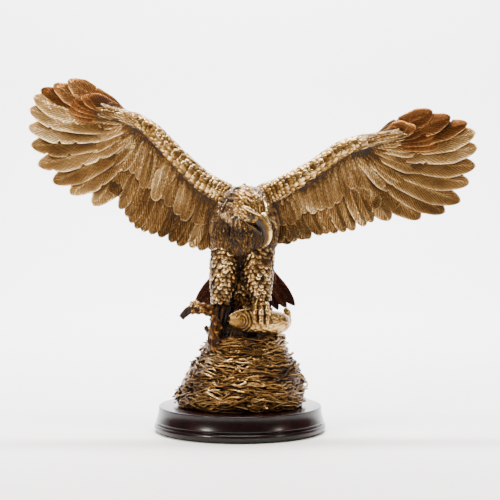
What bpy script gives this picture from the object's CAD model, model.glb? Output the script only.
# %% [markdown]
# # An eagle statuette in gilt bronze
# The real object is a casting: an eagle with raised wings lands on a nest mound, a fish
# under one foot, and the whole thing is bolted to a turned wooden plinth. The CAD model
# already has every piece at its right size and place. Here each plain casting gets the
# surface that a sculptor would model in wax: feathers, scales, twigs and bark.
#
# Lengths are written in millimetres, the way a workshop drawing would have them, and are
# turned into metres only when a mesh is made.

import math

import bpy
import numpy as np
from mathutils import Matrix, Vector


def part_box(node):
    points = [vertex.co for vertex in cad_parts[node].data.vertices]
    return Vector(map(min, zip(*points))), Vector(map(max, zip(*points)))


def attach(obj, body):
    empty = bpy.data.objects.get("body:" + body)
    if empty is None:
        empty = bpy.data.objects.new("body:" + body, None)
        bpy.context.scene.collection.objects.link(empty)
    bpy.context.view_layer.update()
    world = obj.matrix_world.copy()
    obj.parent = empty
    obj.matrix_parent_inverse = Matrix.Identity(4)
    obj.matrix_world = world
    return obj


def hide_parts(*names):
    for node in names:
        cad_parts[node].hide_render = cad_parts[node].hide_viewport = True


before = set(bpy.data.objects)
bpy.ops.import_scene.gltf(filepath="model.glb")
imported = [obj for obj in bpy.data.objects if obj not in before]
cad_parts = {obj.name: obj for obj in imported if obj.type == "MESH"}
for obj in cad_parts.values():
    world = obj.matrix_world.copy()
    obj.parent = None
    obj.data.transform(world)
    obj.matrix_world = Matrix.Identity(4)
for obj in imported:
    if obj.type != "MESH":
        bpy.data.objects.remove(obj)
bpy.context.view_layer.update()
MM = 0.001


def box_mm(node):
    """A CAD node's lowest and highest corner, in millimetres."""
    low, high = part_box(node)
    return np.array(low) / MM, np.array(high) / MM


print("nodes in the frame:", len(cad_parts))

# %% [markdown]
# ## One frame for the whole bird
# Everything on the bird is measured from one point: the middle of the mound's flat top.
# x is the eagle's own left, y points away from its beak, and z is up. The point comes
# from the CAD mound, so the bird follows it if the mound changes.

# %% The eagle's own coordinates
mound_low, mound_high = box_mm("nest_mound")
PERCH = np.array([(mound_low[0] + mound_high[0]) / 2, 0.0, mound_high[2]])


def bird(*point):
    """A point, or a list of points, measured from the top of the mound."""
    return np.array(point if len(point) > 1 else point[0], float) + PERCH


print("perch at", PERCH.round(1))

# %% [markdown]
# ## Smooth lines through a few points
# A sculptor bends a wire armature through a few places. The code does the same: a
# Catmull-Rom curve passes through every point that is given, and the same function also
# smooths a list of radii, so a limb swells and narrows without corners.


# %% A curve through points
def through(points, t):
    """Points of a Catmull-Rom curve at t from 0 to 1."""
    points = np.asarray(points, float)
    if points.ndim == 1:
        points = points[:, None]
    t = np.clip(np.asarray(t, float), 0, 1)
    spans = len(points) - 1
    padded = np.vstack([2 * points[0] - points[1], points, 2 * points[-1] - points[-2]])
    place = np.minimum((t * spans).astype(int), spans - 1)
    f = (t * spans - place)[..., None]
    a, b, c, d = (padded[place + k] for k in range(4))
    curve = b + 0.5 * f * (c - a + f * (2 * a - 5 * b + 4 * c - d + f * (3 * (b - c) + d - a)))
    return curve[..., 0] if curve.shape[-1] == 1 else curve


def unit(v):
    """Vectors at length one."""
    v = np.asarray(v, float)
    return v / np.maximum(np.linalg.norm(v, axis=-1, keepdims=True), 1e-9)


def smooth(low, high, x):
    """0 below low, 1 above high, and a soft step between."""
    f = np.clip((x - low) / (high - low), 0, 1)
    return f * f * (3 - 2 * f)


print("middle of a test curve:", through([[0, 0], [1, 1], [2, 0]], 0.5))

# %% [markdown]
# ## Collecting shells into one casting
# A feathered wing is hundreds of small closed shells pressed into a core, as wax feathers
# are pressed onto a wax body. `Casting` gathers them and makes one mesh at the end. With
# each vertex it keeps three numbers for the finish: how much polishing rubs it (rub), how
# deep it lies under its neighbours (deep) and a tone that differs from feather to
# feather. A fourth, barb, counts millimetres across the feather's fine barbs.


# %% The casting collector
class Casting:
    def __init__(self):
        self.points, self.quads, self.relief, self.barb = [], [], [], []
        self.count = 0

    def add(self, points, quads, rub=0.5, deep=0.0, tone=0.5, barb=0.0):
        """Adds vertices (n, 3) and quads (m, 4), with the finish of each vertex."""
        n = len(points)
        self.points.append(points)
        self.quads.append(quads + self.count)
        columns = [np.broadcast_to(np.ravel(c), n) for c in (rub, deep, tone)]
        self.relief.append(np.stack(columns, 1))
        self.barb.append(np.broadcast_to(np.ravel(barb), n))
        self.count += n

    def make(self, name, material, slot, replaces=(), smooth_faces=True):
        """Makes the mesh object, and rides it on the one rigid body."""
        points = np.concatenate(self.points) * MM
        quads = np.concatenate(self.quads)
        mesh = bpy.data.meshes.new(name)
        mesh.vertices.add(len(points))
        mesh.vertices.foreach_set("co", points.astype(np.float32).ravel())
        mesh.loops.add(quads.size)
        mesh.loops.foreach_set("vertex_index", quads.astype(np.int32).ravel())
        mesh.polygons.add(len(quads))
        mesh.polygons.foreach_set("loop_start", np.arange(0, quads.size, 4, dtype=np.int32))
        mesh.polygons.foreach_set("use_smooth", np.full(len(quads), smooth_faces))
        relief = mesh.attributes.new("relief", "FLOAT_VECTOR", "POINT")
        relief.data.foreach_set("vector", np.concatenate(self.relief).astype(np.float32).ravel())
        barb = mesh.attributes.new("barb", "FLOAT", "POINT")
        barb.data.foreach_set("value", np.concatenate(self.barb).astype(np.float32))
        mesh.update(calc_edges=True)
        mesh.validate()
        mesh.materials.append(material)
        piece = bpy.data.objects.new(name, mesh)
        bpy.context.scene.collection.objects.link(piece)
        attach(piece, "root")
        if replaces:
            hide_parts(*replaces)
        print(f"{name}: {len(points)} vertices, {len(quads)} faces")
        return piece


# %% Faces of a grid
def grid_quads(rows, columns, wrap):
    """Quads of a grid of rows by columns; wrap joins the last column to the first."""
    last = columns if wrap else columns - 1
    i, j = np.meshgrid(np.arange(rows - 1), np.arange(last), indexing="ij")
    k = (j + 1) % columns
    quads = np.stack([i * columns + j, i * columns + k, (i + 1) * columns + k, (i + 1) * columns + j], -1)
    return quads.reshape(-1, 4)


# %% [markdown]
# ## Limbs
# The body, thighs, toes, twigs and beak are all limbs: a round section carried along a
# curve. A limb can answer two questions. `surface` says where a point of its skin is, and
# which way it faces, so feathers can be laid on it. `skin` gives the closed mesh of the
# limb itself, with any extra relief, such as bark or toe scales, added to its radius.


# %% The limb
class Limb:
    def __init__(self, path, widths, depths, facing=(0, 1, 0)):
        self.path, self.widths, self.depths = np.asarray(path, float), widths, depths
        self.facing = np.asarray(facing, float)
        line = through(self.path, np.linspace(0, 1, 60))
        self.length = np.linalg.norm(np.diff(line, axis=0), axis=1).sum()

    def surface(self, t, turn, out=0.0):
        """Skin points, outward normals and the way along, at t and at an angle in radians."""
        t, turn = np.broadcast_arrays(np.asarray(t, float), np.asarray(turn, float))
        step = 1e-3
        middle = through(self.path, t)
        ahead = unit(through(self.path, t + step) - through(self.path, t - step))
        side = unit(np.cross(self.facing, ahead))
        thick = np.cross(ahead, side)
        w, d = through(self.widths, t), through(self.depths, t)
        c, s = np.cos(turn)[..., None], np.sin(turn)[..., None]
        normal = unit(side * c * d[..., None] + thick * s * w[..., None])
        point = middle + side * c * w[..., None] + thick * s * d[..., None]
        return point + normal * np.asarray(out)[..., None], normal, ahead

    def skin(self, rows, sides, relief=None):
        """The closed skin as points and quads, with rows rings of sides points each."""
        t = 0.5 - 0.5 * np.cos(np.linspace(0, np.pi, rows))
        t = 0.5 * t + 0.5 * np.linspace(0, 1, rows)
        turn = np.linspace(0, 2 * np.pi, sides, endpoint=False)
        t, turn = np.meshgrid(t, turn, indexing="ij")
        out = relief(t, turn) if relief else np.zeros_like(t)
        points, _, _ = self.surface(t, turn, out)
        ends = [points[i].mean(0)[None].repeat(sides, 0) for i in (0, -1)]
        points = np.concatenate([ends[0][None], points, ends[1][None]])
        return points.reshape(-1, 3), grid_quads(rows + 2, sides, True), np.pad(out, ((1, 1), (0, 0)))


test_limb = Limb([[0, 0, 0], [0, 0, 50]], [5, 5], [5, 5])
print("a test limb is", round(test_limb.length, 1), "mm long")

# %% [markdown]
# ## One feather, many times
# A cast feather is a thin closed blade: a rounded vane, a raised shaft (the rachis) down
# its middle and a lip where the edge was undercut. All feathers of a row are worked out
# in one go, as arrays, because a wing holds hundreds of them. `sharp` sets the tip, from
# 0.45 for a rounded scale to 1 for a pointed hackle.


# %% The feather builder
def lay_feathers(
    casting, roots, tips, facing, width, *, bow=0.0, sag=0.0, roll=0.0, thick=1.0, crown=0.8,
    shaft=0.5, shoulder=0.65, sharp=0.5, neck=0.45, finger=0.0, steps=14, columns=9, deep=0.0,
    tone=None, barb_pitch=2.4, barbed=True, notches=0, rng=None,
):
    """Adds closed feathers; arrays have one entry per feather, and lengths are in mm."""
    roots, tips = np.atleast_2d(roots), np.atleast_2d(tips)
    n = len(roots)
    per = lambda value: np.broadcast_to(np.asarray(value, float), n)[:, None, None]
    along = tips - roots
    length = np.linalg.norm(along, axis=1)
    ahead = unit(along)
    facing = np.broadcast_to(np.asarray(facing, float), (n, 3))
    normal = unit(facing - (facing * ahead).sum(1, keepdims=True) * ahead)
    side = np.cross(ahead, normal)
    turn = np.broadcast_to(np.asarray(roll, float), n)[:, None]
    normal, side = (
        normal * np.cos(turn) + side * np.sin(turn),
        side * np.cos(turn) - normal * np.sin(turn),
    )
    t = np.linspace(0, 1, steps)
    u = (0.55 * t + 0.45 * np.sin(t * np.pi / 2))[None, :, None]
    v = np.sin(np.linspace(-1, 1, columns) * np.pi / 2)[None, None, :]
    rise = per(neck) + (1 - per(neck)) * smooth(0, 0.35, u)
    fall = np.clip((u - per(shoulder)) / (1 - per(shoulder)), 0, 1)
    half = per(width) * rise * np.maximum(1 - fall**2, 0.0) ** per(sharp)
    half = half * (1 - per(finger) * smooth(0.76, 0.9, u))
    half = np.maximum(half, per(width) * 0.02)
    if notches and rng is not None:
        for _ in range(notches):
            place = rng.uniform(0.4, 0.9, (n, 1, 1))
            edge = rng.choice([-1.0, 1.0], (n, 1, 1))
            bite = rng.uniform(0.1, 0.3, (n, 1, 1)) * np.exp(-(((u - place) / 0.012) ** 2))
            half = half * (1 - bite * np.clip(v * edge, 0, 1) ** 2)
    across = v * half
    vane = per(crown) * (1 - v**2) * smooth(0, 0.12, 1 - u) - 0.25 * per(crown) * v**2
    ridge = per(shaft) * np.exp(-((v * half / 0.75) ** 2)) * (1 - 0.75 * u) * smooth(0, 0.1, 1.02 - u)
    barb = barbed * (0.45 * u * length[:, None, None] - 0.9 * np.abs(across))
    wave = np.sin(2 * np.pi * barb / barb_pitch) * np.clip(2.5 * np.abs(v), 0, 1) * (1 - v**4)
    rim = np.abs(v) ** 6 + np.exp(-(((1 - u) * length[:, None, None] / np.where(barbed, 1.6, 0.7)) ** 2))
    lift = vane + ridge + 0.12 * wave + 0.22 * barbed * per(thick) * rim * smooth(0, 0.2, u)
    edge = (0.35 + 0.65 * np.sqrt(np.maximum(1 - v**4, 0))) * (0.4 + 0.6 * smooth(0, 0.08, 1 - u))
    bend = 4 * u * (1 - u)
    middle = (
        roots[:, None, None] + along[:, None, None] * u[..., None]
        + normal[:, None, None] * (per(bow) * bend)[..., None]
        + side[:, None, None] * (per(sag) * bend)[..., None]
    )
    flat = middle + side[:, None, None] * across[..., None]
    top = flat + normal[:, None, None] * (0.5 * per(thick) * edge + lift)[..., None]
    under = flat - normal[:, None, None] * (0.5 * per(thick) * edge + 0.55 * ridge)[..., None]
    under = under + normal[:, None, None] * (0.5 * vane)[..., None]
    rub = np.where(barbed, 0.3 + 0.65 * rim + 0.7 * ridge + 0.1 * wave + 0.15 * u, 0.85 - 0.4 * rim)
    rub = np.clip(rub, 0, 1.2) + 0 * lift
    root_shade = 1 - (smooth(0.0, 0.5, u) if barbed else smooth(0.3, 0.85, u))
    buried = np.clip(per(deep) + 0.8 * root_shade, 0, 1) + 0 * lift
    tones = rng.uniform(0, 1, n) if tone is None and rng is not None else (0.5 if tone is None else tone)
    tones = per(tones) + 0 * lift
    barb = np.broadcast_to(barb, lift.shape)
    sheet = grid_quads(steps, columns, False)
    size = steps * columns
    rim = np.concatenate([
        np.arange(columns), columns * np.arange(1, steps) + columns - 1,
        size - 2 - np.arange(columns - 1), columns * np.arange(steps - 2, 0, -1),
    ])
    after = np.roll(rim, -1)
    walls = np.stack([rim, rim + size, after + size, after], 1)
    shell = np.concatenate([sheet, (sheet + size)[:, ::-1], walls])
    points = np.stack([top.reshape(n, size, 3), under.reshape(n, size, 3)], 1).reshape(-1, 3)
    both = lambda a: np.stack([a.reshape(n, size)] * 2, 1).ravel()
    quads = (shell[None] + (np.arange(n) * 2 * size)[:, None, None]).reshape(-1, 4)
    casting.add(points, quads, both(rub), both(buried), both(tones), both(barb))


# %% [markdown]
# ## Rows of feathers on a limb
# Feathers lie like roof tiles: each row starts under the row before it, and is shifted by
# half a feather. `cover` lays such rows around a limb, from t0 to t1 along it. Each root
# is sunk a little into the core, each tip stands a little proud of it, and the feather
# bows with the limb, so that none dips under the skin where the limb is round.


# %% Cover a limb with feathers
def cover(casting, limb, rng, *, t0, t1, rows, around, length, width, turns=(0, 2 * math.pi),
          sink=0.6, lift=1.4, back=1, jitter=0.15, ease=1.0, **look):
    """Lays rows of feathers; back=1 points them from t0 towards t1, -1 the other way."""
    length, width = np.atleast_1d(length), np.atleast_1d(width)
    for i in range(rows):
        share = i / max(rows - 1, 1)
        t = t0 + (t1 - t0) * share**ease
        count = int(round(np.interp(share, np.linspace(0, 1, np.size(around)), np.atleast_1d(around))))
        long = np.interp(share, np.linspace(0, 1, len(length)), length)
        wide = np.interp(share, np.linspace(0, 1, len(width)), width)
        full = turns[1] - turns[0] > 6.2
        place = (np.arange(count) + 0.5 * (i % 2)) / (count if full else max(count - 0.5, 1))
        place = place + rng.normal(0, jitter / count, count)
        turn = turns[0] + (turns[1] - turns[0]) * place
        longs = long * rng.uniform(1 - jitter, 1 + jitter, count)
        steps = back * longs / limb.length
        ts = t + rng.normal(0, jitter * 0.35, count) * long / limb.length
        root, facing, _ = limb.surface(ts, turn, -sink)
        tip_turn = turn + rng.normal(0, 0.12, count) * long / 12
        end = np.clip(ts + steps, 0, 1)
        tip, _, ahead = limb.surface(end, tip_turn, lift)
        tip = tip + ahead * ((ts + steps - end) * limb.length)[:, None]
        middle = limb.surface((ts + end) / 2, (turn + tip_turn) / 2, (lift - sink) / 2)[0]
        bow = ((middle - (root + tip) / 2) * facing).sum(1).clip(-0.5, 3.0)
        lay_feathers(
            casting, root, tip, facing, wide / 2 * rng.uniform(0.9, 1.1, count), bow=bow,
            roll=rng.normal(0, 0.1, count), rng=rng, **look,
        )

# %% [markdown]
# ## Building a finish from nodes
# Every finish is a small network of nodes. One helper adds a node, sets its options and
# its unlinked inputs, and joins its linked ones, so that each finish reads as a recipe.


# %% Colours and nodes
def srgb(code):
    """A hex colour as linear red, green, blue and alpha."""
    channels = [int(code[i : i + 2], 16) / 255 for i in (1, 3, 5)]
    return [c / 12.92 if c <= 0.04045 else ((c + 0.055) / 1.055) ** 2.4 for c in channels] + [1.0]


def node(tree, kind, settings=None, values=None, links=None):
    """Adds a node; values and links name its inputs by name or by number."""
    made = tree.nodes.new("ShaderNode" + kind)
    for key, value in (settings or {}).items():
        setattr(made, key, value)
    for key, value in (values or {}).items():
        made.inputs[key].default_value = value
    for key, socket in (links or {}).items():
        tree.links.new(socket, made.inputs[key])
    return made


def ramp(tree, socket, stops):
    """A colour ramp over a socket; stops are (place, hex colour)."""
    made = node(tree, "ValToRGB", links={"Fac": socket})
    marks = made.color_ramp.elements
    while len(marks) < len(stops):
        marks.new(0.5)
    for mark, (place, code) in zip(marks, stops):
        mark.position, mark.color = place, srgb(code)
    return made.outputs["Color"]


def finish(name):
    """A new material with its shader and its tree."""
    material = bpy.data.materials.new(name)
    material.use_nodes = True
    tree = material.node_tree
    return material, tree, tree.nodes["Principled BSDF"]


def math_node(tree, operation, first, second, clamp=False):
    """One sum on two numbers or sockets."""
    made = node(tree, "Math", {"operation": operation, "use_clamp": clamp})
    for i, value in enumerate((first, second)):
        if isinstance(value, (int, float)):
            made.inputs[i].default_value = value
        else:
            tree.links.new(value, made.inputs[i])
    return made.outputs[0]


print("white is", srgb("#FFFFFF"))

# %% [markdown]
# ## Gilt bronze with an antique wash
# The casting is bronze, gilded and then toned: a brown wash is brushed on and wiped off
# again. It stays in the hollows and under the feathers, and the raised edges, shafts and
# tips are rubbed back to bright gold. So the finish needs to know what is high and what
# is low. Each vertex brings rub, deep and tone from the modelling, and an ambient
# occlusion node adds every crevice that the shells make together.


# %% Gilt bronze
BARB_MM = 2.2  # real barbs are about 0.4 mm apart, too fine to show, so they are drawn coarser


def gilt_bronze(name, dark, middle, light, bright, wash=1.0, barbs=1.0, grain=0.6, rough=0.25):
    """Toned and rubbed bronze, from its four colours."""
    material, tree, shader = finish(name)
    relief = node(tree, "Attribute", {"attribute_name": "relief"}).outputs["Vector"]
    parts = node(tree, "SeparateXYZ", links={0: relief}).outputs
    rub, deep, tone = parts[0], parts[1], parts[2]
    place = node(tree, "TexCoord").outputs["Object"]
    cloud = node(tree, "TexNoise", values={"Scale": 22.0, "Detail": 2.0}, links={"Vector": place})
    fleck = node(tree, "TexNoise", values={"Scale": 650.0, "Detail": 3.0}, links={"Vector": place})
    crevice = node(tree, "AmbientOcclusion", {"samples": 6}, values={"Distance": 0.01})
    open_air = math_node(tree, "POWER", crevice.outputs["AO"], 1.5)
    barb = node(tree, "Attribute", {"attribute_name": "barb"}).outputs["Fac"]
    ruffle = node(tree, "TexNoise", values={"Scale": 90.0, "Detail": 2.0}, links={"Vector": place})
    barb = math_node(tree, "ADD", barb, math_node(tree, "MULTIPLY", ruffle.outputs["Fac"], 5.0))
    wave = math_node(tree, "SINE", math_node(tree, "MULTIPLY", barb, 2 * math.pi / BARB_MM), 0.0)

    # High places: open to the air, near an edge or a shaft, and not buried.
    high = math_node(tree, "MULTIPLY", rub, 0.55)
    high = math_node(tree, "ADD", high, math_node(tree, "MULTIPLY", open_air, 0.4))
    high = math_node(tree, "SUBTRACT", high, math_node(tree, "MULTIPLY", deep, 0.5 * wash))
    high = math_node(tree, "ADD", high, math_node(tree, "MULTIPLY", wave, 0.09 * barbs))
    for source, amount in ((cloud.outputs["Fac"], 0.6), (fleck.outputs["Fac"], 0.45), (tone, 0.26)):
        change = math_node(tree, "MULTIPLY", math_node(tree, "SUBTRACT", source, 0.5), amount)
        high = math_node(tree, "ADD", high, change)
    colour = ramp(tree, high, [(0.16, dark), (0.45, middle), (0.75, light), (1.0, bright)])
    tree.links.new(colour, shader.inputs["Base Color"])
    metal = node(tree, "MapRange", values={1: 0.15, 2: 0.45, 3: 0.35, 4: 1.0}, links={0: high})
    tree.links.new(metal.outputs[0], shader.inputs["Metallic"])
    dull = node(tree, "MapRange", values={1: 0.15, 2: 0.9, 3: rough + 0.25, 4: rough}, links={0: high})
    tree.links.new(dull.outputs[0], shader.inputs["Roughness"])

    # Fine relief: barbs where the mesh has them, and the slightly lumpy skin of the casting.
    height = math_node(tree, "MULTIPLY", wave, 0.4 * barbs)
    height = math_node(tree, "ADD", height, math_node(tree, "MULTIPLY", fleck.outputs["Fac"], grain))
    bump = node(tree, "Bump", values={"Strength": 1.0, "Distance": 0.0006}, links={"Height": height})
    tree.links.new(bump.outputs[0], shader.inputs["Normal"])
    return material


bronze = gilt_bronze("gilt_bronze_antique_wash", "#140803", "#3E2812", "#806038", "#E4C490")
orange_bronze = gilt_bronze("gilt_bronze_warm_primaries", "#150802", "#3C220E", "#724826", "#BC8A54", barbs=0.5)
bright_bronze = gilt_bronze("gilt_bronze_rubbed_bright", "#180C04", "#523818", "#8E6B38", "#DDBB84", rough=0.24)
twig_bronze = gilt_bronze("gilt_bronze_twigs", "#100602", "#3E2610", "#826034", "#E6C28A", barbs=0.0)
bark_bronze = gilt_bronze("gilt_bronze_bark", "#0C0502", "#2E1A0C", "#6C4824", "#D8AC6C", barbs=0.0)
brown_bronze = gilt_bronze("bronze_dark_patina", "#0A0402", "#190C07", "#2B1610", "#50301E", rough=0.38)
print("bronze finishes made")

# %% [markdown]
# ## Floor, light and camera
# A plain pale floor runs back into a plain pale wall. The light is that of a bright
# office: a wide soft window behind and above, a softer one in front on the left, and a
# weak fill on the right. Metal shows what stands around it, so the big soft panels are
# also what draws the pale highlights on the feathers.

# %% Floor and backdrop
STAGE_WIDTH, STAGE_FRONT, STAGE_DEPTH, STAGE_WALL = 10.0, 9.0, 2.2, 3.0


def make_stage():
    """A floor that curves up into a wall behind the statuette."""
    steps = 12
    line = [(-STAGE_FRONT, 0.0), (STAGE_DEPTH - 0.6, 0.0)]
    for i in range(1, steps + 1):
        turn = math.pi / 2 * i / steps
        line.append((STAGE_DEPTH - 0.6 + 0.6 * math.sin(turn), 0.6 - 0.6 * math.cos(turn)))
    line.append((STAGE_DEPTH, STAGE_WALL))
    mesh = bpy.data.meshes.new("pale_floor")
    points = [(x, y, z) for y, z in line for x in (-STAGE_WIDTH / 2, STAGE_WIDTH / 2)]
    faces = [(2 * i, 2 * i + 1, 2 * i + 3, 2 * i + 2) for i in range(len(line) - 1)]
    mesh.from_pydata(points, [], faces)
    mesh.polygons.foreach_set("use_smooth", [True] * len(faces))
    floor = bpy.data.objects.new("pale_floor", mesh)
    bpy.context.scene.collection.objects.link(floor)
    paint, tree, shader = finish("pale_matt_paint")
    shader.inputs["Base Color"].default_value = srgb("#FAF9F6")
    shader.inputs["Roughness"].default_value = 0.7
    mesh.materials.append(paint)


make_stage()


# %% Lights
def soft_panel(name, place, aim, size, power, colour="#FFFFFF"):
    """A rectangular area light that looks at a point."""
    light = bpy.data.lights.new(name, "AREA")
    light.shape, light.size, light.size_y = "RECTANGLE", *size
    light.energy, light.color = power, srgb(colour)[:3]
    lamp = bpy.data.objects.new(name, light)
    lamp.location = place
    lamp.rotation_euler = (Vector(aim) - Vector(place)).to_track_quat("-Z", "Y").to_euler()
    bpy.context.scene.collection.objects.link(lamp)


MIDDLE = (0.0, 0.0, 0.22)
soft_panel("wall_wash", (0.0, 0.9, 2.4), (0.0, 2.2, 0.6), (3.0, 0.5), 360, "#F6F8FF")
soft_panel("ceiling", (0.0, -0.1, 1.7), MIDDLE, (0.9, 0.35), 42, "#FFF9EE")
soft_panel("window_front_left", (-1.3, -1.2, 1.0), MIDDLE, (0.35, 0.5), 32, "#FFF6EA")
soft_panel("window_front_right", (1.5, -1.0, 0.9), MIDDLE, (0.22, 0.4), 9, "#FFF1E0")

world = bpy.data.worlds.new("pale_room")
world.use_nodes = True
tree = world.node_tree
above = node(tree, "SeparateXYZ", links={0: node(tree, "TexCoord").outputs["Generated"]}).outputs[2]
sky = ramp(tree, above, [(0.0, "#3A2C22"), (0.15, "#6E675E"), (0.65, "#F4F6FA")])
tree.links.new(sky, tree.nodes["Background"].inputs[0])
tree.nodes["Background"].inputs[1].default_value = 0.38
bpy.context.scene.world = world

# %% Camera
# The view is almost level, from 1.6 m in front, and looks very slightly down.
camera_data = bpy.data.cameras.new("camera")
camera_data.sensor_width = 36.0
camera_data.lens = 100.15
camera = bpy.data.objects.new("camera", camera_data)
camera.location = (0.0114, -1.579, 0.2586)
camera.rotation_euler = (math.radians(90 - 1.93), 0, 0)
bpy.context.scene.collection.objects.link(camera)
bpy.context.scene.camera = camera
print("camera", camera_data.lens, "mm lens")

# %% [markdown]
# ## Wings
# A wing hangs from its arm. Flight feathers root in the arm and end on the wing's edge:
# the primaries fan out from the hand, and the secondaries hang from the forearm. Shorter
# coverts lie over their roots in layers, on the front and on the back, and small scale
# feathers wrap the arm itself. Arm and edge are given as shares of the wing's reach and
# rise, which come from the CAD wing's box.

# %% Where the wings are
BODY_HALF_WIDTH = 36.0
SHOULDER_HEIGHT = 155.0
PRIMARIES, SECONDARIES = 11, 12


class Wing:
    def __init__(self, name, side, arm, primary_edge, secondary_edge):
        low, high = box_mm(f"{name}_wing")
        self.name, self.side = name, side
        self.shoulder = bird(side * (BODY_HALF_WIDTH - 11), 8, SHOULDER_HEIGHT)
        far = high[0] if side > 0 else low[0]
        self.reach = abs(far - self.shoulder[0]) / 1.0 - 2.0
        self.rise = high[2] - self.shoulder[2] - 2.0
        self.arm_path = self.place(arm)
        self.primary_edge = self.place(primary_edge)
        self.secondary_edge = self.place(secondary_edge)
        widths, depths = [10, 11.5, 10.5, 9.0, 8.0, 6.5, 3.5], [11, 11, 10.5, 9, 7.5, 5.5, 3.0]
        self.arm = Limb(self.arm_path, widths, depths)

    def place(self, marks):
        marks = np.array(marks, float)
        scale = np.array([self.side * self.reach, 1.0, self.rise])
        return self.shoulder + marks * scale

    def flight(self):
        """Roots and tips of the flight feathers, from the body outwards."""
        roots, tips = [], []
        for i in range(SECONDARIES):
            t = i / (SECONDARIES - 1)
            roots.append(through(self.arm_path, 0.19 + 0.53 * t))
            tips.append(through(self.secondary_edge, 1 - t))
        for i in range(PRIMARIES):
            t = i / (PRIMARIES - 1)
            roots.append(through(self.arm_path, 0.74 + 0.235 * t))
            tips.append(through(self.primary_edge, 1 - t))
        return np.array(roots), np.array(tips)


right_wing = Wing(
    "right", -1,
    [[-0.11, -8, -0.1], [-0.02, -2, 0.04], [0.1, 4, 0.16], [0.25, 14, 0.4], [0.35, 20, 0.57], [0.43, 22, 0.66], [0.5, 23, 0.7]],
    [[0.787, 34, 1.0], [0.922, 35, 0.932], [0.986, 36, 0.753], [0.977, 36, 0.445], [0.867, 33, 0.152],
     [0.659, 28, -0.045]],
    [[0.519, 23, -0.076], [0.432, 19, -0.229], [0.34, 15, -0.293], [0.197, 10, -0.392], [0.059, 5, -0.424]],
)
left_wing = Wing(
    "left", 1,
    [[-0.11, -8, -0.1], [-0.02, -2, 0.04], [0.08, 3, 0.15], [0.22, 12, 0.34], [0.35, 19, 0.55], [0.44, 22, 0.63], [0.54, 23, 0.68]],
    [[0.788, 34, 1.0], [0.956, 35, 0.845], [1.0, 36, 0.564], [0.969, 36, 0.19], [0.845, 33, -0.146],
     [0.584, 28, -0.229]],
    [[0.506, 23, -0.246], [0.381, 19, -0.345], [0.268, 15, -0.39], [0.164, 10, -0.443], [0.07, 5, -0.486]],
)
for wing in (right_wing, left_wing):
    print(wing.name, "reach", round(wing.reach, 1), "rise", round(wing.rise, 1))

# %% [markdown]
# ### The fan
# Every layer of a wing follows the same fan, from the arm to the edge. This function finds
# a place on it, and bows it the way the flight feathers are bowed.


# %% A place on the fan
def fan(wing, q, share):
    """Points on the wing's fan: q from 0 at the body to 1 at the leading edge."""
    roots, tips = wing.flight()
    order = np.linspace(0, 1, len(roots))
    pick = lambda table: np.stack([np.interp(q, order, table[:, k]) for k in range(3)], 1)
    root, tip = pick(roots) + [0, 6.0, 0], pick(tips)
    share = np.asarray(share, float)[:, None]
    bend = 4 * share * (1 - share)
    sag = 7 * np.sin(np.pi * np.clip((q - 0.5) * 2, 0, 1)) * (q > 0.5) + 1.0 * (q <= 0.5)
    deep = np.where(q > 0.5, np.interp(q, [0.5, 1], [9, 2]), 9.0)
    return root + (tip - root) * share + bend * np.stack([0 * q, deep, -sag], 1)


# %% [markdown]
# ### Flight feathers
# Each is one long bowed blade with a shaft on both faces. A small roll lets every
# feather's lower edge stand proud of the next one, like weatherboards, which is what
# draws the dark line between them. The primaries narrow into fingers towards their tips.


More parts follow.
